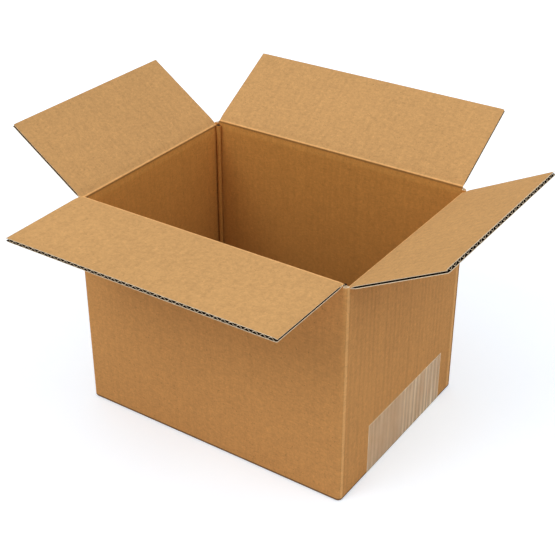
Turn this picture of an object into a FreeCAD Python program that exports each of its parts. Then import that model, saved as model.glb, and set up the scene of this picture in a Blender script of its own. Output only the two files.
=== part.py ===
"""Open slotted carton of single-wall corrugated board, its bottom closed by one strip of tape.

Millimetres. X runs along the long panels, Y along the short ones, +Z is up. The front panel
is at -Y. The origin is the middle of the footprint, on the surface that the carton stands on.
"""
import FreeCAD, Part
import math
import os

# Carton, outside sizes
carton_length = 209.0
carton_width = 157.0
side_crease_height = 158.4
corner_radius = 3.3
# The majors fold one board and this clearance above the minors, so that they close over them
stacking_clearance = 0.25

# Corrugated board: two liners and a fluted sheet between them
board = 2.8
liner = 0.35
medium = 0.3
flute_pitch = 5.3

# Flaps: a folded pair leaves this gap along the middle of the carton, at the top and the bottom
top_gap = 17.6
bottom_gap = 2.0
# A flap's ends stand back from the carton's outer faces, and its slot is a little wider
flap_end_inset = 3.4
slot_clearance = 0.3
# Angle of each top flap above the level, folded outwards
front_flap_angle = -1.0
back_flap_angle = 30.5
left_flap_angle = 35.0
right_flap_angle = 27.0

# Crease: the board is crushed to this thickness and turns on a small bead. The crushed board
# is thinner than the bead, so that a flap clears its wall down to 40 degrees below the level
crease_thickness = 0.7
bead_radius = 0.8
bead_clearance = 0.25
crush_length = 6.0
bottom_fold_radius = 1.2

# Glue lap of the carton's joint, inside the back right corner
lap_width = 32.0
lap_end_clearance = 4.0

# Tape under the seam and up both short sides
tape_width = 101.6
tape_thickness = 0.1
tape_climb = 40.0
tape_offset = 6.5

half_length = carton_length / 2
half_width = carton_width / 2
half_board = board / 2
floor_bottom = tape_thickness
floor_top = floor_bottom + 2 * board
front_crease_height = side_crease_height + board + stacking_clearance
top_flap_depth = half_width - half_board - top_gap / 2
bottom_flap_depth = half_width - half_board - bottom_gap / 2
major_flap_length = carton_length - 2 * flap_end_inset
minor_flap_length = carton_width - 2 * flap_end_inset


def vector(x, y, z):
    """A point or direction."""
    return FreeCAD.Vector(x, y, z)


def box(x_range, y_range, z_range):
    """An upright block between two values on each axis."""
    size = [high - low for low, high in (x_range, y_range, z_range)]
    return Part.makeBox(*size, vector(x_range[0], y_range[0], z_range[0]))


def polygon_face(points):
    """A flat face with straight sides."""
    return Part.Face(Part.makePolygon(points + points[:1]))


def prism(points, direction):
    """A straight-sided solid: a polygon pushed along a direction."""
    return polygon_face(points).extrude(direction)


def crease_section():
    """Half the crushed board's outline, as pairs: distance from the crease, half thickness."""
    thin = crease_thickness / 2
    return [(0.0, thin), (bead_radius, thin), (crush_length, half_board)]


def corrugated_flap(length):
    """A top flap in its own place: its crease is the X axis and its board reaches along -Y.

    The section is the board's own: triangular flutes run from the crushed crease to the
    outer edge, and the flute that each side cut opens is a groove between the liners.
    """
    root = bead_radius + bead_clearance
    upper = [(-d, h) for d, h in crease_section()] + [(-top_flap_depth, half_board)]
    lower = [(y, -z) for y, z in reversed(upper)]
    outline = [vector(-length / 2, y, z) for y, z in upper + lower]
    flap = prism(outline, vector(length, 0, 0))
    round_root = Part.makeCylinder(root, length, vector(-length / 2, 0, 0), vector(1, 0, 0))
    flap = flap.cut(round_root)

    low = -half_board + liner
    high = half_board - liner
    slope = math.atan2(high - low, flute_pitch / 2)
    across = medium / math.sin(slope) / 2
    upright = medium / math.cos(slope)
    flutes = int((length - 2 * liner) / flute_pitch)
    first = -flutes * flute_pitch / 2
    run = vector(0, -top_flap_depth, 0)

    def channel(middle, base, tip):
        """One open flute as a triangle with its base on a liner."""
        reach = flute_pitch / 2 - across
        corners = [(middle - reach, base), (middle + reach, base), (middle, tip)]
        return prism([vector(x, -crush_length, z) for x, z in corners], run)

    channels = []
    for index in range(flutes):
        middle = first + (index + 0.5) * flute_pitch
        channels.append(channel(middle, low, high - upright))
        if index < flutes - 1:
            channels.append(channel(middle + flute_pitch / 2, high, low + upright))
    side = first - liner
    for sign in (-1, 1):
        groove = [(-length, low), (-length, high), (side, high), (side, low)]
        channels.append(prism([vector(-sign * x, -crush_length, z) for x, z in groove], run))
    return flap.cut(Part.makeCompound(channels))


def top_flap(length, direction, distance, height, angle):
    """A flap folded outwards on its crease: direction is the way out of the carton, in degrees."""
    flap = corrugated_flap(length)
    flap.rotate(vector(0, 0, 0), vector(1, 0, 0), -angle)
    flap.translate(vector(0, -distance, height))
    flap.rotate(vector(0, 0, 0), vector(0, 0, 1), direction)
    return flap


def wall_top(length, height):
    """A wall's crushed top edge and its bead, along X, on a wall whose middle plane is Y = 0."""
    front = [(-half, height - down) for down, half in reversed(crease_section())]
    back = [(half, height - down) for down, half in crease_section()]
    points = [vector(-length / 2, y, z) for y, z in front + back]
    bead = Part.makeCylinder(bead_radius, length, vector(-length / 2, 0, height), vector(1, 0, 0))
    return prism(points, vector(length, 0, 0)).fuse(bead)


def walls():
    """The four panels as one tube with rounded corners, each drawn in to its crease at the top."""
    corner_top = side_crease_height - bead_radius
    outer = box((-half_length, half_length), (-half_width, half_width), (floor_bottom, corner_top))
    upright_edges = [edge for edge in outer.Edges if abs(edge.tangentAt(edge.FirstParameter).z) > 0.9]
    outer = outer.makeFillet(corner_radius, upright_edges)
    inside_x = half_length - board
    inside_y = half_width - board
    inner = box((-inside_x, inside_x), (-inside_y, inside_y), (floor_bottom - 1, corner_top + 1))
    tube = outer.cut(inner)

    panels = ((0, half_width, major_flap_length, front_crease_height),
              (90, half_length, minor_flap_length, side_crease_height))
    for turn, distance, flap_length, crease_height in panels:
        crease_length = flap_length + 2 * slot_clearance
        top = wall_top(crease_length, crease_height)
        top.translate(vector(0, -distance + half_board, 0))
        slot = box((-crease_length / 2, crease_length / 2), (-distance - 1, -distance + board + 1),
                   (crease_height - crush_length, front_crease_height))
        for side in (turn, turn + 180):
            piece, gap = top.copy(), slot.copy()
            for shape in (piece, gap):
                shape.rotate(vector(0, 0, 0), vector(0, 0, 1), side)
            tube = tube.cut(gap).fuse(piece)
    return tube


def bottom_flaps():
    """The four bottom flaps, folded in: the minors inside, the majors under them."""
    folds = []
    middle_level = floor_bottom + board
    minor_reach = half_length - half_board - bottom_flap_depth
    major_reach = half_width - half_board - bottom_flap_depth
    for sign in (-1, 1):
        x_range = sorted((sign * minor_reach, sign * (half_length - half_board)))
        y_span = (-minor_flap_length / 2, minor_flap_length / 2)
        folds.append(box(x_range, y_span, (middle_level, floor_top)))
        y_range = sorted((sign * major_reach, sign * (half_width - half_board)))
        x_span = (-major_flap_length / 2, major_flap_length / 2)
        folds.append(box(x_span, y_range, (floor_bottom, middle_level)))
    return folds


def glue_lap():
    """The lap that joins the back panel to the inside of the right panel."""
    x_range = (half_length - 2 * board, half_length - board)
    y_range = (half_width - board - lap_width, half_width - board)
    z_range = (floor_top + lap_end_clearance, side_crease_height - crush_length - lap_end_clearance)
    lap = box(x_range, y_range, z_range)
    free_edge = [edge for edge in lap.Edges
                 if abs(edge.CenterOfMass.x - x_range[0]) < 0.01
                 and abs(edge.CenterOfMass.y - y_range[0]) < 0.01]
    return lap.makeChamfer(liner, free_edge)


def carton_body():
    """One folded sheet: four walls, the glue lap and the four closed bottom flaps."""
    body = walls().multiFuse(bottom_flaps() + [glue_lap()]).removeSplitter()
    span = carton_length + carton_width
    for turn, distance in ((0, half_width), (90, half_length), (180, half_width), (-90, half_length)):
        corner = box((-span, span), (-distance - 1, -distance + bottom_fold_radius),
                     (floor_bottom - 1, floor_bottom + bottom_fold_radius))
        centre = vector(-span, -distance + bottom_fold_radius, floor_bottom + bottom_fold_radius)
        corner = corner.cut(Part.makeCylinder(bottom_fold_radius, 2 * span, centre, vector(1, 0, 0)))
        corner.rotate(vector(0, 0, 0), vector(0, 0, 1), turn)
        body = body.cut(corner)
    return body


def tape_strip():
    """One strip of tape: under the bottom seam, round both bottom edges and up the short sides."""
    outer_x = half_length + tape_thickness
    outer_radius = bottom_fold_radius + tape_thickness

    def profile(x, z, radius, top):
        """A cup outline in the XZ plane with rounded bottom corners, closed along its top."""
        turn = radius * (1 - math.sqrt(0.5))
        left_arc = Part.Arc(vector(-x, 0, z + radius), vector(-x + turn, 0, z + turn),
                            vector(-x + radius, 0, z))
        right_arc = Part.Arc(vector(x - radius, 0, z), vector(x - turn, 0, z + turn),
                             vector(x, 0, z + radius))
        lines = [Part.LineSegment(vector(-x, 0, top), vector(-x, 0, z + radius)), left_arc,
                 Part.LineSegment(vector(-x + radius, 0, z), vector(x - radius, 0, z)), right_arc,
                 Part.LineSegment(vector(x, 0, z + radius), vector(x, 0, top)),
                 Part.LineSegment(vector(x, 0, top), vector(-x, 0, top))]
        return Part.Face(Part.Wire([line.toShape() for line in lines]))

    start = vector(0, tape_offset - tape_width / 2, 0)
    outer = profile(outer_x, 0.0, outer_radius, tape_climb)
    inner = profile(half_length, tape_thickness, bottom_fold_radius, tape_climb + 1)
    outer.translate(start)
    inner.translate(start)
    return outer.extrude(vector(0, tape_width, 0)).cut(inner.extrude(vector(0, tape_width, 0)))


side_distance = half_length - half_board
front_distance = half_width - half_board
nodes = {
    "carton_body": carton_body(),
    "front_top_flap": top_flap(major_flap_length, 0, front_distance, front_crease_height, front_flap_angle),
    "right_top_flap": top_flap(minor_flap_length, 90, side_distance, side_crease_height, right_flap_angle),
    "back_top_flap": top_flap(major_flap_length, 180, front_distance, front_crease_height, back_flap_angle),
    "left_top_flap": top_flap(minor_flap_length, 270, side_distance, side_crease_height, left_flap_angle),
    "bottom_tape": tape_strip(),
}

os.makedirs("parts", exist_ok=True)
for name, shape in nodes.items():
    solids = shape.Solids
    if len(solids) != 1 or not shape.isValid():
        raise ValueError(name + " is not one sound solid")
    solids[0].exportStep("parts/" + name + ".step")
    bounds = shape.BoundBox
    print(name, "volume", round(shape.Volume), "faces", len(shape.Faces),
          "x", round(bounds.XMin, 2), round(bounds.XMax, 2), "y", round(bounds.YMin, 2), round(bounds.YMax, 2),
          "z", round(bounds.ZMin, 2), round(bounds.ZMax, 2))
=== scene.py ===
"""Open slotted carton of corrugated board, its bottom closed with one strip of clear tape.

Metres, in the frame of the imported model: X along the long panels, Y along the short ones, the
front panel at -Y, +Z up, and the origin on the floor under the middle of the carton.
"""

import math

import bmesh
import bpy
from mathutils import Matrix, Vector


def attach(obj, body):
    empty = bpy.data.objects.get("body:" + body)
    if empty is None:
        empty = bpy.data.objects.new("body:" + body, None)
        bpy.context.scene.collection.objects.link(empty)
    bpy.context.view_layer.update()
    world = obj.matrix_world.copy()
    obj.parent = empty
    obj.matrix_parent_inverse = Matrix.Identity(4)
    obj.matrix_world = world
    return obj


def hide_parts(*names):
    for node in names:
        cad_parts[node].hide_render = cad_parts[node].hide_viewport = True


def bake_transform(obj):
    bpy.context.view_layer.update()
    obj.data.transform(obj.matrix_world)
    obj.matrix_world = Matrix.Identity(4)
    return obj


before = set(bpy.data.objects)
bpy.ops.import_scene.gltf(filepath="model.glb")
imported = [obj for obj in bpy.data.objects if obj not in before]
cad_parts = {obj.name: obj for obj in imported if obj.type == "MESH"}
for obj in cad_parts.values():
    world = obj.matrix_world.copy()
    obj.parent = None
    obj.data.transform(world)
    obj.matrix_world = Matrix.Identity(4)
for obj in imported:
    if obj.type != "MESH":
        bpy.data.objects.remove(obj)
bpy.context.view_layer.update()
scene = bpy.context.scene


# Camera
# A short telephoto above the near corner, looking down into the carton.
azimuth = math.radians(33.987)
elevation = math.radians(30.498)
roll = math.radians(0.013)
camera_place = (0.39254, -0.57925, 0.50749)
reach = math.cos(elevation)
back = Vector((math.sin(azimuth) * reach, -math.cos(azimuth) * reach, math.sin(elevation)))
level = Vector((math.cos(azimuth), math.sin(azimuth), 0.0))
upward = back.cross(level)
right = level * math.cos(roll) + upward * math.sin(roll)
up = upward * math.cos(roll) - level * math.sin(roll)
lens = bpy.data.cameras.new("camera")
lens.lens = 75.998
lens.sensor_width = 36.0
lens.shift_x = 0.003
lens.clip_start = 0.01
camera = bpy.data.objects.new("camera", lens)
camera_turn = Matrix((right, up, back)).transposed().to_4x4()
camera.matrix_world = Matrix.Translation(camera_place) @ camera_turn
scene.collection.objects.link(camera)
scene.camera = camera
scene.view_settings.view_transform = "Standard"


# Light
# A plain white studio: soft light from all round that grows towards the top, and two weak, wide
# lamps high in front and on the right. The camera and the gloss see plain white.
low_sky = 0.16
high_sky = 1.0
glow_from = 0.40
glow_to = 0.72
lamp_tilt = math.radians(42)
lamp_spread = math.radians(30)
lamp_height = 1.2
white = (1, 1, 1, 1)


def feed(tree, target, value):
    """Gives a node's input a value of its own, or the output of another node."""
    if isinstance(value, bpy.types.NodeSocket):
        tree.links.new(value, target)
    else:
        target.default_value = value


def add_node(tree, kind, place, **values):
    """A shader node, with its properties and its inputs set or linked by name."""
    node = tree.nodes.new(kind)
    node.location = place
    for name, value in values.items():
        if hasattr(node, name):
            setattr(node, name, value)
        else:
            feed(tree, node.inputs[name.replace("_", " ")], value)
    return node


def math_node(tree, operation, place, first, second=None, third=None):
    """The result of a Math node on links or numbers."""
    node = add_node(tree, "ShaderNodeMath", place, operation=operation)
    for index, value in enumerate((first, second, third)):
        if value is not None:
            feed(tree, node.inputs[index], value)
    return node.outputs[0]


def map_range(tree, place, value, start, end, low, high):
    """A value between start and end, turned into one between low and high."""
    node = add_node(tree, "ShaderNodeMapRange", place, Value=value, From_Min=start, From_Max=end,
                    To_Min=low, To_Max=high)
    return node.outputs["Result"]


def seen_directly(tree):
    """A value of 1 for rays that should see the white background, and 0 for light on surfaces."""
    rays = add_node(tree, "ShaderNodeLightPath", (-800, 0)).outputs
    either = math_node(tree, "MAXIMUM", (-600, 0), rays["Is Camera Ray"], rays["Is Glossy Ray"])
    return math_node(tree, "MAXIMUM", (-400, 0), either, rays["Is Transmission Ray"])


world = bpy.data.worlds.new("studio")
world.use_nodes = True
scene.world = world
sky = world.node_tree
sky.nodes.clear()
direction = add_node(sky, "ShaderNodeTexCoord", (-800, -300)).outputs["Generated"]
upwards = add_node(sky, "ShaderNodeSeparateXYZ", (-600, -300), Vector=direction).outputs["Z"]
glow_up = map_range(sky, (-400, -300), upwards, glow_from, glow_to, low_sky, high_sky)
strength = map_range(sky, (-200, 0), seen_directly(sky), 0.0, 1.0, glow_up, 1.0)
backdrop = add_node(sky, "ShaderNodeBackground", (0, 0), Color=white, Strength=strength)
add_node(sky, "ShaderNodeOutputWorld", (200, 0), Surface=backdrop.outputs[0])

for name, share, degrees in (("left_lamp", 0.235, -24.0), ("right_lamp", 0.135, 88.0)):
    lamp = bpy.data.lights.new(name, "SUN")
    lamp.energy = share * math.pi
    lamp.angle = lamp_spread
    side = math.radians(degrees)
    holder = bpy.data.objects.new(name, lamp)
    holder.rotation_euler = (lamp_tilt, 0.0, side)
    holder.location = (math.sin(side), -math.cos(side), lamp_height)
    scene.collection.objects.link(holder)


# Floor
# A plain white sweep. It clips to white where nothing stands in its light, and keeps the
# carton's soft shadow.
floor_reach = 15.0
floor_level = -0.0001
floor_reflects = (0.76, 0.76, 0.76, 1)
floor_seen = (0.74, 0.82, 0.91, 1)
floor_glow = 0.40


def finish_piece(name, bm, materials, sharp=35.0):
    """An object made of a bmesh, smooth except along edges that turn more than the sharp angle."""
    mesh = bpy.data.meshes.new(name)
    bm.to_mesh(mesh)
    bm.free()
    for material in materials:
        mesh.materials.append(material)
    mesh.polygons.foreach_set("use_smooth", [True] * len(mesh.polygons))
    mesh.set_sharp_from_angle(angle=math.radians(sharp))
    piece = bpy.data.objects.new(name, mesh)
    scene.collection.objects.link(piece)
    return piece


def new_material(name):
    """A material with its Principled shader, and nothing else in it."""
    material = bpy.data.materials.new(name)
    material.use_nodes = True
    tree = material.node_tree
    tree.nodes.clear()
    shader = add_node(tree, "ShaderNodeBsdfPrincipled", (300, 0))
    add_node(tree, "ShaderNodeOutputMaterial", (600, 0), Surface=shader.outputs[0])
    return material, tree, shader


def set_shader(tree, shader, **values):
    """Sets or links the shader's inputs by name."""
    for name, value in values.items():
        feed(tree, shader.inputs[name.replace("_", " ")], value)


def mix_colours(tree, place, share, first, second):
    """A colour between two colours. Inputs 6 and 7 and output 2 are a Mix node's colour sockets."""
    node = add_node(tree, "ShaderNodeMix", place, data_type="RGBA", Factor=share)
    feed(tree, node.inputs[6], first)
    feed(tree, node.inputs[7], second)
    return node.outputs[2]


floor_white, tree, shader = new_material("studio_white")
direct = seen_directly(tree)
floor_tint = mix_colours(tree, (0, 100), direct, floor_reflects, floor_seen)
# No glow reaches the camera through the tape's film
films = add_node(tree, "ShaderNodeLightPath", (-200, -400)).outputs["Transparent Depth"]
glow = map_range(tree, (0, -400), films, 0.0, 1.0, floor_glow, 0.0)
glow = math_node(tree, "MULTIPLY", (200, -300), direct, glow)
set_shader(tree, shader, Base_Color=floor_tint, Roughness=0.9, Specular_IOR_Level=0.0,
           Emission_Color=white, Emission_Strength=glow)

bm = bmesh.new()
floor_place = Matrix.Translation((0, 0, floor_level))
bmesh.ops.create_grid(bm, x_segments=4, y_segments=4, size=floor_reach, matrix=floor_place)
floor = finish_piece("floor", bm, [floor_white])


# Carton walls
# One sheet of single-wall corrugated board, creased and folded round into four panels. Brown
# kraft liners, with the flutes upright, so the panels show faint upright lines.
board = 0.0028
liner = 0.0004
flute_pitch = 0.0053
half_length = 0.1045
half_width = 0.0785
corner_radius = 0.0033
floor_bottom = 0.0001
floor_top = floor_bottom + 2 * board
corner_top = 0.1602
long_crease = 0.16145
short_crease = 0.1584
long_flap = 0.2022
short_flap = 0.1502
slot_clearance = 0.0003
# Below each crease a strip of the wall belongs to the flap's own mesh, which bends there
crease_strip = 0.008
bottom_radius = 0.0012
contact_shadow_top = floor_bottom + 0.0020
# On the right panel, the lighter strip (rubbed paper with a painted highlight) and then the shallow gap
# beside the back right corner start at these places along Y
joint_strip = 0.0712
joint_edge = 0.0741
joint_depth = 0.0007
joint_taper = 0.0001
hollow_depth = 0.002
hollow_taper = 0.00005
# A face or edge counts as lying on a plane within this distance
near = 0.0001
outside_tint = (0.66, 0.328, 0.109)
inside_tint = (0.62, 0.350, 0.137)
# The inside walls' painted shade: the inside liner's tint made darker and redder where the walls lie in
# shade
shade_tint = (0.62, 0.300, 0.074)
# A lighter tint, partly rubbed paper and partly a painted highlight, on the corners' facets that face X
# and on the strip by the joint
rub_and_highlight_tint = (0.82, 0.45, 0.17)
# A dark brown for the painted contact shadow along the bottom of the walls
contact_shadow_tint = (0.24, 0.125, 0.055)
cut_tint = (0.92, 0.75, 0.53, 1)
# Near-black painted shade inside cut board
flute_shade_tint = (0.028, 0.015, 0.008, 1)
paper_contrast = 1.3
fibre_height = 0.00003
# Along a crease, from the flap (0) to the wall (1): a painted highlight on the flap's side where the
# liner bulges over the fold, then painted shade in the groove on the wall's side, as pairs of place and
# brightness
crease_highlight_and_shade = [(0.0, 1.0), (0.16, 1.0), (0.24, 1.40), (0.33, 1.30), (0.41, 0.62), (0.50, 0.66),
                 (0.60, 1.0)]
brightest_shade = 1.4


def socket(group, name, kind, way, value=None):
    """One named input or output of a node group."""
    made = group.interface.new_socket(name, in_out=way, socket_type=kind)
    if value is not None:
        made.default_value = value


def noise_value(tree, vector, place, scale, detail, stretch=(1, 1, 1), roughness=0.55):
    """Noise between 0 and 1 on a stretched copy of a vector."""
    left_of_place = (place[0] - 200, place[1])
    mapping = add_node(tree, "ShaderNodeMapping", left_of_place, vector_type="POINT", Vector=vector,
                       Scale=stretch)
    texture = add_node(tree, "ShaderNodeTexNoise", place, Vector=mapping.outputs[0], Scale=scale,
                       Detail=detail, Roughness=roughness)
    return texture.outputs["Fac"]


def scaled(tree, place, colour, factor):
    """A colour made lighter or darker by a factor."""
    node = add_node(tree, "ShaderNodeVectorMath", place, operation="SCALE", Scale=factor)
    feed(tree, node.inputs[0], colour)
    return node.outputs[0]


# Paper: fine fibre, larger cloudiness, a few darker flecks and short light strands, over a tint
paper = bpy.data.node_groups.new("kraft_paper", "ShaderNodeTree")
socket(paper, "Vector", "NodeSocketVector", "INPUT")
socket(paper, "Tint", "NodeSocketColor", "INPUT", (0.5, 0.3, 0.1, 1))
socket(paper, "Contrast", "NodeSocketFloat", "INPUT", 1.0)
socket(paper, "Color", "NodeSocketColor", "OUTPUT")
socket(paper, "Roughness", "NodeSocketFloat", "OUTPUT")
socket(paper, "Height", "NodeSocketFloat", "OUTPUT")
into = add_node(paper, "NodeGroupInput", (-1200, 0)).outputs
vector = into["Vector"]
fibre = noise_value(paper, vector, (-700, 300), 800.0, 5.0, (1.0, 1.0, 0.55), 0.65)
cross_fibre = noise_value(paper, vector, (-700, 0), 700.0, 5.0, (0.45, 0.45, 1.3), 0.65)
cloud = noise_value(paper, vector, (-700, -300), 150.0, 5.0, roughness=0.62)
patch = noise_value(paper, vector, (-700, -600), 16.0, 2.0)
fleck = noise_value(paper, vector, (-700, -900), 950.0, 1.0, roughness=0.3)
curl = noise_value(paper, vector, (-700, -1200), 260.0, 1.0)
short = noise_value(paper, vector, (-700, -1500), 420.0, 0.0)
off_curl = math_node(paper, "SUBTRACT", (-600, -1200), curl, 0.5)
off_curl = math_node(paper, "ABSOLUTE", (-500, -1200), off_curl)
strand = map_range(paper, (-350, -1200), off_curl, 0.0, 0.022, 0.11, 0.0)
gate = map_range(paper, (-350, -1500), short, 0.58, 0.66, 0.0, 1.0)
strands = math_node(paper, "MULTIPLY", (-150, -1300), strand, gate)
weave = math_node(paper, "ADD", (-450, 200), fibre, cross_fibre)
fine = math_node(paper, "MULTIPLY_ADD", (-300, 200), weave, 0.34, -0.34)
soft = math_node(paper, "MULTIPLY_ADD", (-300, -200), cloud, 0.16, -0.08)
broad = math_node(paper, "MULTIPLY_ADD", (-300, -500), patch, 0.08, -0.04)
dark = map_range(paper, (-450, -900), fleck, 0.70, 0.80, 0.0, -0.22)
total = math_node(paper, "ADD", (-100, 0), fine, soft)
total = math_node(paper, "ADD", (50, 0), total, broad)
total = math_node(paper, "ADD", (200, 0), total, dark)
total = math_node(paper, "ADD", (275, -100), total, strands)
total = math_node(paper, "MULTIPLY", (350, 0), total, into["Contrast"])
factor = math_node(paper, "ADD", (500, 0), total, 1.0)
shade = scaled(paper, (650, 100), into["Tint"], factor)
roughness = math_node(paper, "MULTIPLY_ADD", (650, -100), weave, 0.14, 0.68)
height = math_node(paper, "MULTIPLY", (650, -300), weave, 0.5)
add_node(paper, "NodeGroupOutput", (900, 0), Color=shade, Roughness=roughness, Height=height)

# Flutes: the liners sink a little between the tips of the fluted sheet, unevenly
flutes = bpy.data.node_groups.new("flute_lines", "ShaderNodeTree")
socket(flutes, "Vector", "NodeSocketVector", "INPUT")
socket(flutes, "Across", "NodeSocketFloat", "INPUT")
socket(flutes, "Pitch", "NodeSocketFloat", "INPUT", flute_pitch)
socket(flutes, "Line", "NodeSocketFloat", "OUTPUT")
into = add_node(flutes, "NodeGroupInput", (-1200, 0)).outputs
vector = into["Vector"]
sway = noise_value(flutes, vector, (-800, -300), 60.0, 2.0, (1.0, 1.0, 0.1))
uneven = noise_value(flutes, vector, (-800, -600), 170.0, 3.0, (1.0, 1.0, 0.06))
streak = noise_value(flutes, vector, (-800, -900), 800.0, 3.0, (1.0, 1.0, 0.03), 0.6)
turns = math_node(flutes, "DIVIDE", (-800, 0), into["Across"], into["Pitch"])
turns = math_node(flutes, "MULTIPLY_ADD", (-600, 0), sway, 0.9, turns)
wave = math_node(flutes, "MULTIPLY", (-500, 0), turns, 2 * math.pi)
wave = math_node(flutes, "SINE", (-400, 0), wave)
wave = math_node(flutes, "MULTIPLY_ADD", (-250, 0), wave, 0.5, 0.5)
amount = map_range(flutes, (-400, -400), uneven, 0.35, 0.68, 0.1, 1.0)
streak = math_node(flutes, "MULTIPLY_ADD", (-400, -900), streak, 0.9, -0.45)
line = math_node(flutes, "MULTIPLY", (0, 0), wave, amount)
line = math_node(flutes, "MULTIPLY_ADD", (100, 0), line, 0.8, streak)
add_node(flutes, "NodeGroupOutput", (200, 0), Line=line)


def painted_wall_shade(tree, tint, wall_shade_tint, height):
    """The inside tint with painted shade: a flap's own, then past the crease the wall's darker shaded
    tint, painted darker still towards the floor, with the crease's painted highlight and shade.
    """
    wall = add_node(tree, "ShaderNodeAttribute", (-1100, 400), attribute_name="wall").outputs["Fac"]
    past_crease = map_range(tree, (-950, 250), wall, 0.25, 0.6, 0.0, 1.0)
    # Painted shade that deepens towards the carton's floor
    depth = map_range(tree, (-1200, 100), height, 0.02, 0.15, 0.62, 1.12)
    lower = scaled(tree, (-1050, 100), wall_shade_tint, depth)
    mixed = mix_colours(tree, (-850, 400), past_crease, (*tint, 1), lower)
    # Painted highlight and painted shade along the crease
    ramp = add_node(tree, "ShaderNodeValToRGB", (-950, 650), Fac=wall)
    stops = ramp.color_ramp.elements
    stops.remove(stops[1])
    for position, shade in crease_highlight_and_shade:
        stop = stops[0] if position == 0.0 else stops.new(position)
        stop.color = (*[shade / brightest_shade] * 3, 1)
    crease_light_and_shade = math_node(tree, "MULTIPLY", (-750, 650), ramp.outputs["Color"], brightest_shade)
    return scaled(tree, (-650, 500), mixed, crease_light_and_shade)


def kraft(name, tint, axis, line_shade, line_depth, wall_shade_tint=None):
    """Kraft liner whose flute lines repeat along X or Y. The wall attribute turns it to a darker tint of
    painted shade on the walls.
    """
    material, tree, shader = new_material(name)
    where = add_node(tree, "ShaderNodeTexCoord", (-1100, 0)).outputs["Object"]
    split = add_node(tree, "ShaderNodeSeparateXYZ", (-900, -200), Vector=where).outputs
    tint_here = painted_wall_shade(tree, tint, wall_shade_tint, split["Z"]) if wall_shade_tint else (*tint, 1)
    sheet = add_node(tree, "ShaderNodeGroup", (-600, 200), node_tree=paper, Vector=where,
                     Tint=tint_here, Contrast=paper_contrast).outputs
    lines = add_node(tree, "ShaderNodeGroup", (-600, -200), node_tree=flutes, Vector=where,
                     Across=split[axis]).outputs["Line"]
    # Darker colour along the flute lines, partly the liner's own and partly painted shade of their
    # shallow grooves
    darker = math_node(tree, "MULTIPLY_ADD", (-350, -50), lines, -line_shade, 1.0)
    colour = scaled(tree, (-150, 100), sheet["Color"], darker)
    height = math_node(tree, "MULTIPLY", (-350, -350), sheet["Height"], fibre_height)
    height = math_node(tree, "MULTIPLY_ADD", (-200, -350), lines, -line_depth, height)
    bump = add_node(tree, "ShaderNodeBump", (0, -300), Strength=1.0, Distance=1.0, Height=height)
    set_shader(tree, shader, Base_Color=colour, Roughness=sheet["Roughness"],
               Specular_IOR_Level=0.12, Normal=bump.outputs[0])
    return material


def bare_paper(name, tint, contrast, roughness=None):
    """Paper without flute lines, for cut edges. Its roughness is the fibres' own unless given."""
    material, tree, shader = new_material(name)
    where = add_node(tree, "ShaderNodeTexCoord", (-700, 0)).outputs["Object"]
    sheet = add_node(tree, "ShaderNodeGroup", (-400, 0), node_tree=paper, Vector=where, Tint=tint,
                     Contrast=contrast).outputs
    set_shader(tree, shader, Base_Color=sheet["Color"], Roughness=roughness or sheet["Roughness"],
               Specular_IOR_Level=0.1)
    return material


outside_long = kraft("kraft_outside_long", outside_tint, "X", 0.05, 0.00003)
outside_short = kraft("kraft_outside_short", outside_tint, "Y", 0.16, 0.00010)
inside_long = kraft("kraft_inside_long", inside_tint, "X", 0.07, 0.00004, shade_tint)
inside_short = kraft("kraft_inside_short", inside_tint, "Y", 0.07, 0.00004, shade_tint)
rub_and_highlight_corner = kraft("kraft_rubbed_corner", rub_and_highlight_tint, "Y", 0.05, 0.00002)
bottom_contact_shadow = kraft("kraft_bottom_crease", contact_shadow_tint, "X", 0.05, 0.00002)
cut_edge = bare_paper("cut_board_edge", cut_tint, 1.0)
# The fluted sheet between the liners is painted near-black as shade, because little light comes into a
# cut edge; the same painted shade darkens hollows, gaps and the beads' tops
fluting_shade = bare_paper("fluted_sheet_painted_dark", flute_shade_tint, 1.5, 0.85)
wall_materials = [outside_long, outside_short, inside_long, inside_short, cut_edge, fluting_shade,
                  rub_and_highlight_corner, bottom_contact_shadow]

# The wall below the top creases: a tube with rounded corners, notched where the flaps fold
bm = bmesh.new()
tube_size = Matrix.Diagonal((2 * half_length, 2 * half_width, corner_top - floor_bottom, 1))
tube_place = Matrix.Translation((0, 0, (corner_top + floor_bottom) / 2))
bmesh.ops.create_cube(bm, size=1.0, matrix=tube_place @ tube_size)
ends = [face for face in bm.faces if abs(face.normal.z) > 0.9]
bmesh.ops.delete(bm, geom=ends, context="FACES_ONLY")
upright = [edge for edge in bm.edges if abs(edge.verts[0].co.z - edge.verts[1].co.z) > board]
bmesh.ops.bevel(bm, geom=upright, offset=corner_radius, segments=8, affect="EDGES", profile=0.5,
                material=-1)
notch_x = long_flap / 2 + slot_clearance
notch_y = short_flap / 2 + slot_clearance
cuts = [((0, 0, long_crease - crease_strip), (0, 0, 1)), ((0, 0, short_crease - crease_strip), (0, 0, 1))]
cuts += [((side * notch_x, 0, 0), (1, 0, 0)) for side in (-1, 1)]
cuts += [((0, side * notch_y, 0), (0, 1, 0)) for side in (-1, 1)]
cuts += [((0, y, 0), (0, 1, 0)) for y in (joint_edge, joint_strip)]
cuts.append(((0, 0, contact_shadow_top), (0, 0, 1)))
for point, direction in cuts:
    everything = bm.verts[:] + bm.edges[:] + bm.faces[:]
    bmesh.ops.bisect_plane(bm, geom=everything, dist=1e-6, plane_co=point, plane_no=direction)


def in_notch(face):
    """Whether a wall face is above the line where a flap's own crease strip takes over."""
    middle = face.calc_center_median()
    if abs(face.normal.y) > 0.9:
        return abs(middle.x) < notch_x and middle.z > long_crease - crease_strip
    if abs(face.normal.x) > 0.9:
        return abs(middle.y) < notch_y and middle.z > short_crease - crease_strip
    return False


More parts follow.
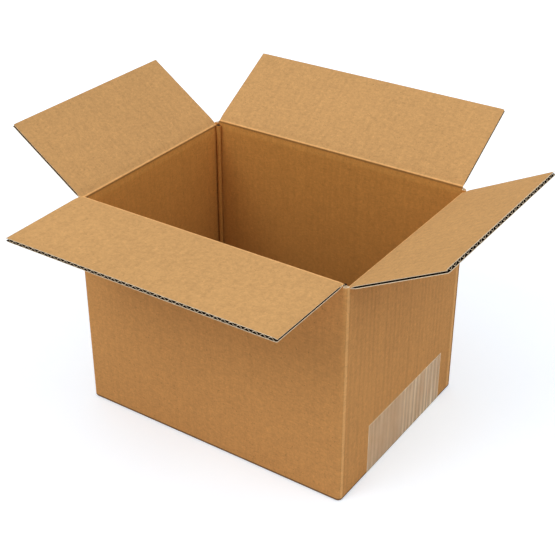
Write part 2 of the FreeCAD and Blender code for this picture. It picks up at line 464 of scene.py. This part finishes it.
def beside_slot(face):
    """Whether a face is a side of one of the slots between the flaps."""
    middle = face.calc_center_median()
    across_x = abs(face.normal.x) > 0.99 and abs(abs(middle.x) - notch_x) < near
    across_y = abs(face.normal.y) > 0.99 and abs(abs(middle.y) - notch_y) < near
    return across_x or across_y


def faces_out(face):
    """Whether a wall face looks away from the inside of the carton."""
    middle = face.calc_center_median()
    return face.normal.x * middle.x + face.normal.y * middle.y > 0


def dress(faces, materials, material):
    """Gives faces one of their piece's materials."""
    for face in faces:
        face.material_index = materials.index(material)


def hollow(bm, faces):
    """Sinks the middle of cut ends of board between their two liners."""
    bmesh.ops.inset_region(bm, faces=faces, thickness=liner)
    bmesh.ops.inset_region(bm, faces=faces, thickness=hollow_taper, depth=-hollow_depth)


bmesh.ops.delete(bm, geom=[face for face in bm.faces if in_notch(face)], context="FACES")
bmesh.ops.recalc_face_normals(bm, faces=bm.faces[:])
bmesh.ops.solidify(bm, geom=bm.faces[:], thickness=board)
bm.normal_update()
joint_gap = []
post_tops = []
for face in bm.faces:
    middle = face.calc_center_median()
    normal = face.normal
    across_x = abs(normal.x) > abs(normal.y)
    on_right = middle.x > 0 and across_x
    # The corner facets that face X get a painted highlight, and are also lighter as rubbed paper
    rub_and_highlight_facet = 0.85 < abs(normal.x) < 0.999
    if abs(normal.z) > 0.5:
        look = outside_long if middle.z < floor_top else cut_edge
        if middle.z > corner_top - near:
            post_tops.append(face)
    elif beside_slot(face):
        look = cut_edge
    elif not faces_out(face):
        look = inside_short if across_x else inside_long
    # Painted contact shadow on the outside of the walls next to the floor
    elif middle.z < contact_shadow_top:
        look = bottom_contact_shadow
    elif middle.x > 0 and normal.x > 0.85 and middle.y > joint_edge:
        look = outside_long
        joint_gap.append(face)
    elif rub_and_highlight_facet or (on_right and middle.y > joint_strip):
        look = rub_and_highlight_corner
    else:
        look = outside_short if across_x else outside_long
    dress([face], wall_materials, look)

bottom_fold = []
for edge in bm.edges:
    at_bottom = max(vert.co.z for vert in edge.verts) < floor_bottom + near
    if at_bottom and len(edge.link_faces) == 2:
        upright_face = min(edge.link_faces, key=lambda face: abs(face.normal.z))
        if faces_out(upright_face):
            bottom_fold.append(edge)

# The cut edges that the slots leave show the hollow board, and a gap beside the back right corner is
# where the right panel ends over the glue lap. The bottoms of both are painted near-black as shade
hollow(bm, post_tops)
bmesh.ops.inset_region(bm, faces=joint_gap, thickness=joint_taper, depth=-joint_depth)
dress(post_tops + joint_gap, wall_materials, fluting_shade)
# The fold to the bottom flaps is round outside, and painted dark as a contact shadow
fold = [edge for edge in bottom_fold if edge.is_valid]
made = bmesh.ops.bevel(bm, geom=fold, offset=bottom_radius, segments=4, affect="EDGES", profile=0.5,
                       material=-1)
dress(made["faces"], wall_materials, bottom_contact_shadow)
bmesh.ops.recalc_face_normals(bm, faces=bm.faces[:])


def mark_wall(piece, shares=None):
    """Stores how far each point belongs to the carton's walls, 1 everywhere unless it is given."""
    count = len(piece.data.vertices)
    attribute = piece.data.attributes.new("wall", "FLOAT", "POINT")
    attribute.data.foreach_set("value", shares or [1.0] * count)


walls = finish_piece("carton_walls", bm, wall_materials)
mark_wall(walls)
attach(walls, "carton")
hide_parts("carton_body")


# Corner beads
# Where an upright crease folds, the inside liner gathers into a narrow round bead from the
# bottom of the carton to its top. The glue lap takes its place in the back right corner.
bead = 0.0016
bead_gap = 0.0004
bead_top = 0.1594
bead_length = bead_top - floor_top
bm = bmesh.new()
for side_x, side_y in ((-1, -1), (-1, 1), (1, -1)):
    middle_x = side_x * (half_length - board - bead - bead_gap)
    middle_y = side_y * (half_width - board - bead - bead_gap)
    place = Matrix.Translation((middle_x, middle_y, floor_top + bead_length / 2))
    bmesh.ops.create_cone(bm, cap_ends=True, segments=20, radius1=bead, radius2=bead,
                          depth=bead_length, matrix=place)
bead_materials = [inside_long, fluting_shade]
# The beads' flat tops are painted near-black as shade
dress([face for face in bm.faces if face.normal.z > 0.9], bead_materials, fluting_shade)
beads = finish_piece("corner_beads", bm, bead_materials)
mark_wall(beads)
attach(beads, "carton")


# Top flaps
# Four flaps of the same sheet, folded outwards: two liners with a fluted sheet between them. The
# liners carry on over the crease, where the board is crushed, into the top of the wall.
medium = 0.0003
half_board = board / 2
flap_depth = 0.0683
# The board is crushed thin up to crush_start from the crease, and full from crush_length on
fold_half = 0.0008
crush_start = 0.0006
crush_length = 0.006
bend_steps = 8
# The wall attribute is crease_share at the crease, and 1 more one crease_zone into the wall
crease_share = 0.35
crease_zone = 0.0065
# A face counts as the outer edge's own within this distance
edge_slack = 0.00002
# Rows of points across the crushed board, and from there to the flap's outer edge
crush_rows = [crush_length * step / 5 for step in range(1, 6)]
flap_rows = crush_rows + [0.02, 0.035, 0.05, flap_depth]
# Columns of faces along a flap. The outermost points stand side_steps from its side, where
# cutting has pinched the board by side_pinch
columns = 24
side_steps = (0.0, 0.0010, 0.0022)
side_pinch = (0.00045, 0.00015, 0.0)
# The fluted sheet has this many faces to a wave, and stays this far inside the sides and the end
wave_faces = 12
flute_margin = 0.001
flute_setback = 0.0002
front_distance = half_width - half_board
side_distance = half_length - half_board
# The order of the materials in both lists
inside_index, outside_index, cut_index, flute_index = range(4)
long_materials = [inside_long, outside_long, cut_edge, fluting_shade]
short_materials = [inside_short, outside_short, cut_edge, fluting_shade]


def half_thickness(distance):
    """Half the crushed board's thickness at a distance from its crease."""
    share = min(max((distance - crush_start) / (crush_length - crush_start), 0.0), 1.0)
    return fold_half + (half_board - fold_half) * share * share * (3 - 2 * share)


def liner_sheet(bm, section, wide, narrow, narrow_from, pinch):
    """The outer side of a liner: a line of points (out, up) swept along X.

    The wall part is as wide as the notch it fills. From narrow_from on it is as wide as the flap,
    and cutting has pressed its sides in the direction called pinch.
    """
    rows = len(section) - 1
    made = bmesh.ops.create_grid(bm, x_segments=columns, y_segments=rows, size=0.5)
    for vert in made["verts"]:
        row = round((vert.co.y + 0.5) * rows)
        width = wide if row < narrow_from else narrow
        from_middle = abs(vert.co.x) * columns
        from_side = round(columns / 2 - from_middle)
        if from_side < len(side_steps):
            inset, pinched = side_steps[from_side], side_pinch[from_side]
        else:
            inset, pinched = (columns / 2 - from_middle) * width / columns, 0.0
        x = math.copysign(width / 2 - inset, vert.co.x) if from_middle > 0.5 else 0.0
        vert.co = Vector((x, section[row][0], section[row][1]))
        if row >= narrow_from:
            vert.co += pinch * pinched
    return list({face for vert in made["verts"] for face in vert.link_faces})


def add_liner(bm, section, wide, narrow, narrow_from, face_index, towards):
    """A liner with its thickness towards the middle of the board. All but its face is painted near-black
    as shade.
    """
    faces = liner_sheet(bm, section, wide, narrow, narrow_from, towards)
    for face in faces:
        face.material_index = face_index
    bmesh.ops.recalc_face_normals(bm, faces=faces)
    last = min(faces, key=lambda face: face.calc_center_median().y)
    if last.normal.dot(towards) > 0:
        bmesh.ops.reverse_faces(bm, faces=faces)
    before = set(bm.faces)
    bmesh.ops.solidify(bm, geom=faces, thickness=liner)
    for face in set(bm.faces) - before:
        face.material_index = flute_index


def show_cuts(bm, depth, out):
    """Gives the sides and the outer edge of both liners the look of cut board."""
    for face in bm.faces:
        outermost = face.calc_center_median().dot(out) > depth - edge_slack
        if outermost or abs(face.normal.x) > 0.9:
            face.material_index = cut_index


def add_fluting(bm, length, start, depth, out, normal):
    """The fluted sheet: waves along X that run straight out from start to just short of depth."""
    waves = math.floor((length - flute_margin) / flute_pitch * 2) / 2
    width = waves * flute_pitch
    made = bmesh.ops.create_grid(bm, x_segments=int(waves * wave_faces), y_segments=1, size=0.5)
    faces = list({face for vert in made["verts"] for face in vert.link_faces})
    swing = half_board - liner - medium / 2
    for vert in made["verts"]:
        x = vert.co.x * width
        distance = start + (vert.co.y + 0.5) * (depth - flute_setback - start)
        place = out * distance + normal * math.sin(2 * math.pi * x / flute_pitch) * swing
        vert.co = Vector((x, place.y, place.z))
    bmesh.ops.recalc_face_normals(bm, faces=faces)
    before = set(bm.faces)
    bmesh.ops.solidify(bm, geom=faces, thickness=medium)
    for face in list(set(bm.faces) - before) + faces:
        face.material_index = cut_index if abs(face.normal.dot(out)) > 0.9 else flute_index


def top_flap(name, node, length, turn, distance, height, angle, materials):
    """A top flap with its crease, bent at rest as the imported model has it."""
    rise = math.radians(angle)
    out = Vector((0, -math.cos(rise), math.sin(rise)))
    normal = Vector((0, math.sin(rise), math.cos(rise)))
    bend = math.pi / 2 - rise
    wall_rows = [crease_strip] + crush_rows[::-1]

    upper = [Vector((0, half_thickness(d), -d)) for d in wall_rows]
    for step in range(bend_steps + 1):
        turned = bend * step / bend_steps
        upper.append(Vector((0, math.cos(turned), math.sin(turned))) * fold_half)
    upper += [out * d + normal * half_thickness(d) for d in flap_rows]

    half_angle = (math.pi / 2 + rise) / 2
    inner_corner = (out + Vector((0, 0, -1))).normalized() * (fold_half / math.sin(half_angle))
    lower = [Vector((0, -half_thickness(d), -d)) for d in wall_rows]
    lower.append(inner_corner)
    lower += [out * d - normal * half_thickness(d) for d in flap_rows]

    bm = bmesh.new()
    wide = length + 2 * slot_clearance
    middle_of_bend = len(wall_rows) + bend_steps // 2
    inside_points = [(point.y, point.z) for point in upper]
    outside_points = [(point.y, point.z) for point in lower]
    add_liner(bm, inside_points, wide, length, middle_of_bend, inside_index, -normal)
    add_liner(bm, outside_points, wide, length, len(wall_rows), outside_index, normal)
    show_cuts(bm, flap_depth, out)
    add_fluting(bm, length, crush_length, flap_depth, out, normal)

    place = Matrix.Rotation(math.radians(turn), 4, "Z") @ Matrix.Translation((0, -distance, height))
    bmesh.ops.transform(bm, matrix=place, verts=bm.verts[:])
    flap = finish_piece(name, bm, materials)
    across = (out + Vector((0, 0, 1))).normalized()
    inverse = place.inverted()
    shares = []
    for vert in flap.data.vertices:
        past_crease = (inverse @ vert.co).dot(across)
        shares.append(min(max(crease_share - past_crease / crease_zone, 0.0), 1.0))
    mark_wall(flap, shares)
    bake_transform(flap)
    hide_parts(node)


top_flap("front_flap_board", "front_top_flap",
         long_flap, 0, front_distance, long_crease, -1.0, long_materials)
top_flap("right_flap_board", "right_top_flap",
         short_flap, 90, side_distance, short_crease, 27.0, short_materials)
top_flap("back_flap_board", "back_top_flap",
         long_flap, 180, front_distance, long_crease, 30.5, long_materials)
top_flap("left_flap_board", "left_top_flap",
         short_flap, 270, side_distance, short_crease, 35.0, short_materials)


# Bottom flaps
# The same sheet folded in underneath: the two short flaps inside, the two long ones over them,
# meeting along the middle. Their free edges show the flutes.
bottom_seam = 0.002
bottom_depth = half_width - board - bottom_seam / 2
bottom_rows = [0.0, 0.02, 0.04, bottom_depth]


def bottom_flap(bm, length, turn, distance, level):
    """A flat flap from the inside of its wall towards the middle, its outside liner downwards."""
    part = bmesh.new()
    out = Vector((0, -1, 0))
    normal = Vector((0, 0, 1))
    upper = [(-d, half_board) for d in bottom_rows]
    lower = [(-d, -half_board) for d in bottom_rows]
    add_liner(part, upper, length, length, 0, inside_index, -normal)
    add_liner(part, lower, length, length, 0, outside_index, normal)
    show_cuts(part, bottom_depth, out)
    add_fluting(part, length, 0.0, bottom_depth, out, normal)
    place = Matrix.Rotation(math.radians(turn), 4, "Z") @ Matrix.Translation((0, distance, level))
    bmesh.ops.transform(part, matrix=place, verts=part.verts[:])
    made = bpy.data.meshes.new("bottom_part")
    part.to_mesh(made)
    part.free()
    bm.from_mesh(made)
    bpy.data.meshes.remove(made)


lower_level = floor_bottom + half_board
upper_level = lower_level + board
bm = bmesh.new()
for turn in (0, 180):
    bottom_flap(bm, long_flap, turn, half_width - board, lower_level)
long_bottom = finish_piece("bottom_flaps_long", bm, long_materials)
bm = bmesh.new()
for turn in (90, 270):
    bottom_flap(bm, short_flap, turn, half_length - board, upper_level)
short_bottom = finish_piece("bottom_flaps_short", bm, short_materials)
for piece in (long_bottom, short_bottom):
    mark_wall(piece)
    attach(piece, "carton")


# Glue lap
# The sheet's last strip, bent round the back right corner and glued to the inside of the right
# panel, which closes the tube.
lap_width = 0.032
lap_clearance = 0.004
lap_low = floor_top + lap_clearance
lap_high = short_crease - crush_length - lap_clearance
lap_middle = (half_length - 1.5 * board, half_width - board - lap_width / 2, (lap_low + lap_high) / 2)
lap_size = Matrix.Diagonal((board, lap_width, lap_high - lap_low, 1))
bm = bmesh.new()
bmesh.ops.create_cube(bm, size=1.0, matrix=Matrix.Translation(lap_middle) @ lap_size)
inner_edges = [edge for edge in bm.edges if all(vert.co.x < lap_middle[0] for vert in edge.verts)]
bmesh.ops.bevel(bm, geom=inner_edges, offset=liner, segments=2, affect="EDGES", profile=0.5,
                material=-1)
lap_ends = [face for face in bm.faces if abs(face.normal.z) > 0.9]
lap_materials = [inside_short, cut_edge, fluting_shade]
dress(lap_ends, lap_materials, cut_edge)
hollow(bm, lap_ends)
# The sunken middle of the lap's cut ends is painted near-black as shade
dress(lap_ends, lap_materials, fluting_shade)
lap = finish_piece("glue_lap", bm, lap_materials)
mark_wall(lap)
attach(lap, "carton")


# Tape
# One strip of clear packing tape under the seam and up both short sides. The film is a little
# cloudy, lies close over the flutes and shows lighter cut edges.
tape_half = 0.0508
tape_offset = 0.0065
tape_thickness = 0.0001
tape_climb = 0.040
tape_corner = 0.0013
corner_steps = 6
tape_row = 0.02
tape_x = half_length + tape_thickness
rim_width = 0.0006
film_tint = (1.0, 0.79, 0.50, 1)
film_opacity = 0.26
film_cloud = 0.3
rim_opacity = 0.35
line_relief = 0.00006

film, tree, shader = new_material("clear_tape")
where = add_node(tree, "ShaderNodeTexCoord", (-1100, 0)).outputs["Object"]
split = add_node(tree, "ShaderNodeSeparateXYZ", (-900, -200), Vector=where).outputs
lines = add_node(tree, "ShaderNodeGroup", (-600, -200), node_tree=flutes, Vector=where,
                 Across=split["Y"]).outputs["Line"]
cloudy = noise_value(tree, where, (-600, 300), 110.0, 3.0, (1.0, 1.0, 0.4))
from_middle = math_node(tree, "SUBTRACT", (-800, -500), split["Y"], tape_offset)
from_middle = math_node(tree, "ABSOLUTE", (-700, -500), from_middle)
long_edge = math_node(tree, "GREATER_THAN", (-550, -500), from_middle, tape_half - rim_width)
short_edge = math_node(tree, "GREATER_THAN", (-550, -650), split["Z"], tape_climb - rim_width)
rim = math_node(tree, "MAXIMUM", (-400, -550), long_edge, short_edge)
# The film grips the flutes more firmly towards the back, where it shows more of their lines
grip = map_range(tree, (-400, 150), split["Y"], -0.01, 0.025, 0.15, 0.55)
stuck = math_node(tree, "MULTIPLY", (-300, 0), lines, grip)
opacity = math_node(tree, "ADD", (-200, 0), stuck, film_opacity)
opacity = math_node(tree, "MULTIPLY_ADD", (-100, 0), cloudy, film_cloud, opacity)
opacity = math_node(tree, "MULTIPLY_ADD", (0, 0), rim, rim_opacity, opacity)
relief = math_node(tree, "MULTIPLY", (-200, -300), lines, line_relief)
bump = add_node(tree, "ShaderNodeBump", (0, -300), Strength=1.0, Distance=1.0, Height=relief)
set_shader(tree, shader, Base_Color=film_tint, Roughness=0.32, Alpha=opacity,
           Specular_IOR_Level=0.4, Normal=bump.outputs[0])

# The strip's route seen from the front: down the left side, along the bottom, up the right side
path = [Vector((-tape_x, tape_climb)), Vector((-tape_x, tape_row))]
for side in (-1, 1):
    corner = []
    for step in range(corner_steps + 1):
        angle = math.radians(180 + 90 * step / corner_steps)
        bent = Vector((math.cos(angle), math.sin(angle))) * tape_corner
        corner.append(Vector((bent.x - tape_x + tape_corner, bent.y + tape_corner)))
    if side > 0:
        corner = [Vector((-point.x, point.y)) for point in reversed(corner)]
    path += corner
path += [Vector((tape_x, tape_row)), Vector((tape_x, tape_climb))]
rows = len(path) - 1
bm = bmesh.new()
made = bmesh.ops.create_grid(bm, x_segments=columns, y_segments=rows, size=0.5)
for vert in made["verts"]:
    point = path[round((vert.co.y + 0.5) * rows)]
    vert.co = Vector((point.x, tape_offset + vert.co.x * 2 * tape_half, point.y))
bmesh.ops.recalc_face_normals(bm, faces=bm.faces[:])
lowest = min(bm.faces, key=lambda face: face.calc_center_median().z)
if lowest.normal.z > 0:
    bmesh.ops.reverse_faces(bm, faces=bm.faces[:])
bmesh.ops.solidify(bm, geom=bm.faces[:], thickness=tape_thickness)
tape = finish_piece("bottom_tape_film", bm, [film], 60.0)
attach(tape, "carton")
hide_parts("bottom_tape")
